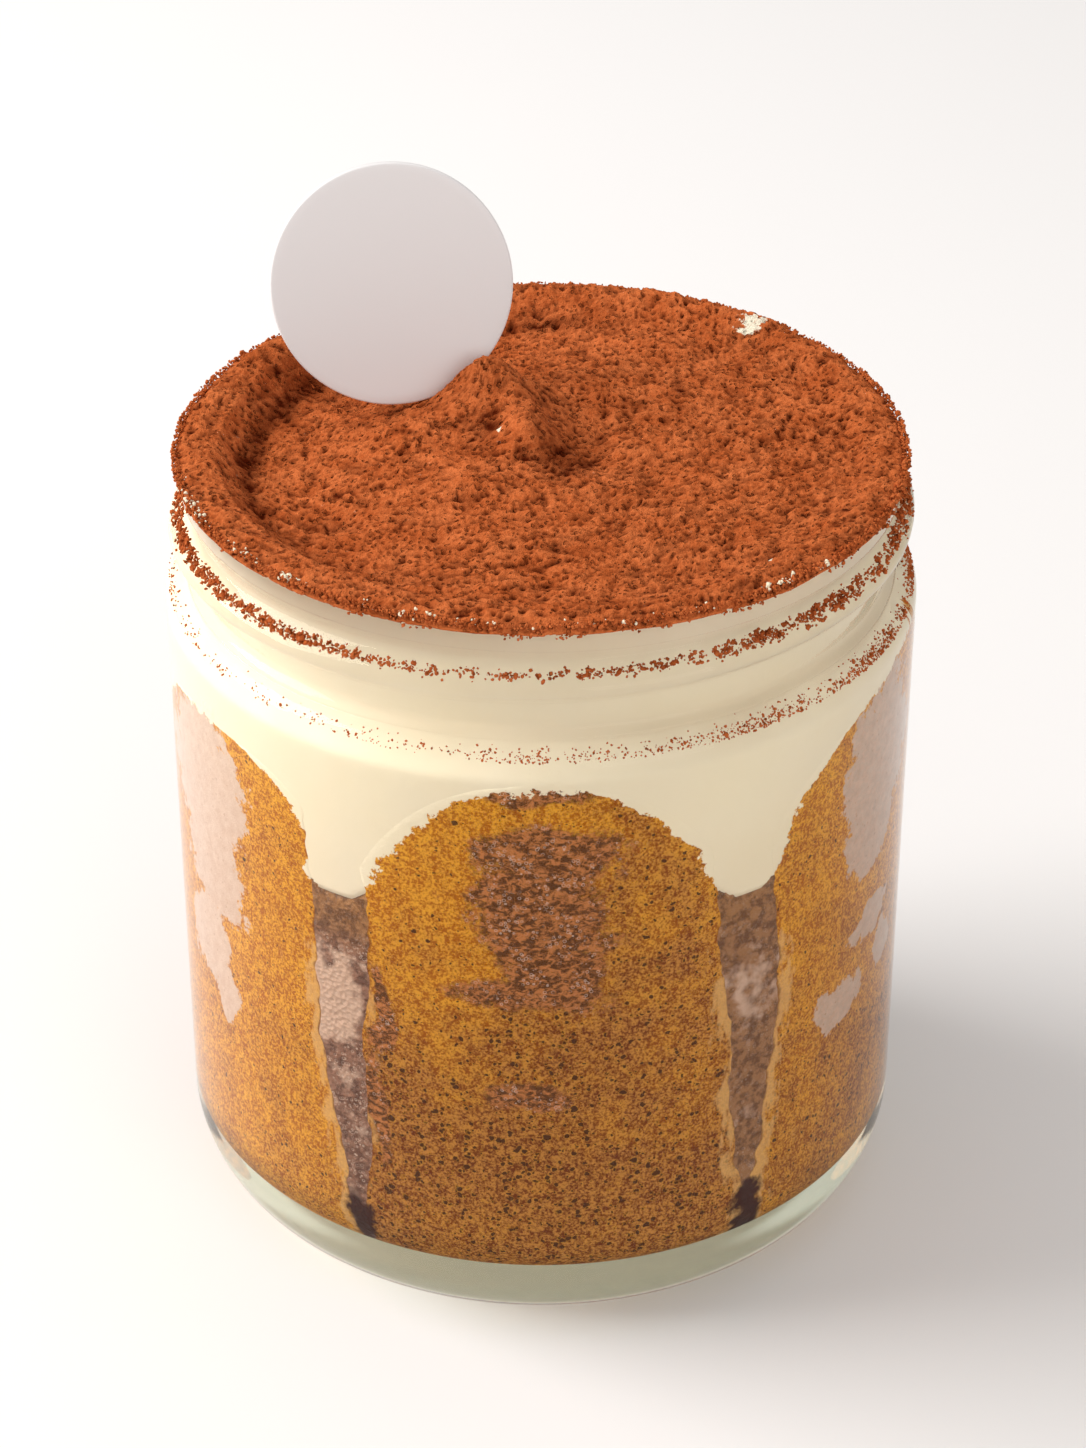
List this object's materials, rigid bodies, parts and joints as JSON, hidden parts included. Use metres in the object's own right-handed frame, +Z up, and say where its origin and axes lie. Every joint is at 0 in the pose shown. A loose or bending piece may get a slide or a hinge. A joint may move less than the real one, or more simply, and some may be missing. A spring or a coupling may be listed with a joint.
{
  "type": "tiramisu in a glass jar",
  "caption": "Tiramisu in a round screw-neck glass jar: soaked ladyfingers round the wall, mascarpone cream with drips between them, cocoa on top, plain round tag.",
  "frame": {"origin": "centre of the jar's base, on the surface it stands on", "axes": "+Z up along the jar's axis, -Y towards the front where the drips show best, +X to the right seen from the front"},
  "size_m": [0.076, 0.076, 0.1076],
  "materials": {
    "jar_glass": "clear, smooth, faint green in the thick base",
    "mascarpone": "smooth ivory cream",
    "soaked_ladyfinger": "porous sponge, wet amber where it meets the glass",
    "coffee_syrup": "dark, bubbly and wet",
    "cocoa": "dry granular powder",
    "tag_card": "satin white, bare"
  },
  "bodies": {
    "root": {"jar": "jar_glass", "mascarpone_cream": "mascarpone", "ladyfinger_1": "soaked_ladyfinger", "ladyfinger_2": "soaked_ladyfinger", "ladyfinger_3": "soaked_ladyfinger", "ladyfinger_4": "soaked_ladyfinger", "ladyfinger_5": "soaked_ladyfinger", "ladyfinger_6": "soaked_ladyfinger", "coffee_syrup_1": "coffee_syrup", "coffee_syrup_2": "coffee_syrup", "coffee_syrup_3": "coffee_syrup", "coffee_syrup_4": "coffee_syrup", "coffee_syrup_5": "coffee_syrup", "coffee_syrup_6": "coffee_syrup", "cocoa_layer": "cocoa", "round_tag": "tag_card"}
  },
  "joints": []
}
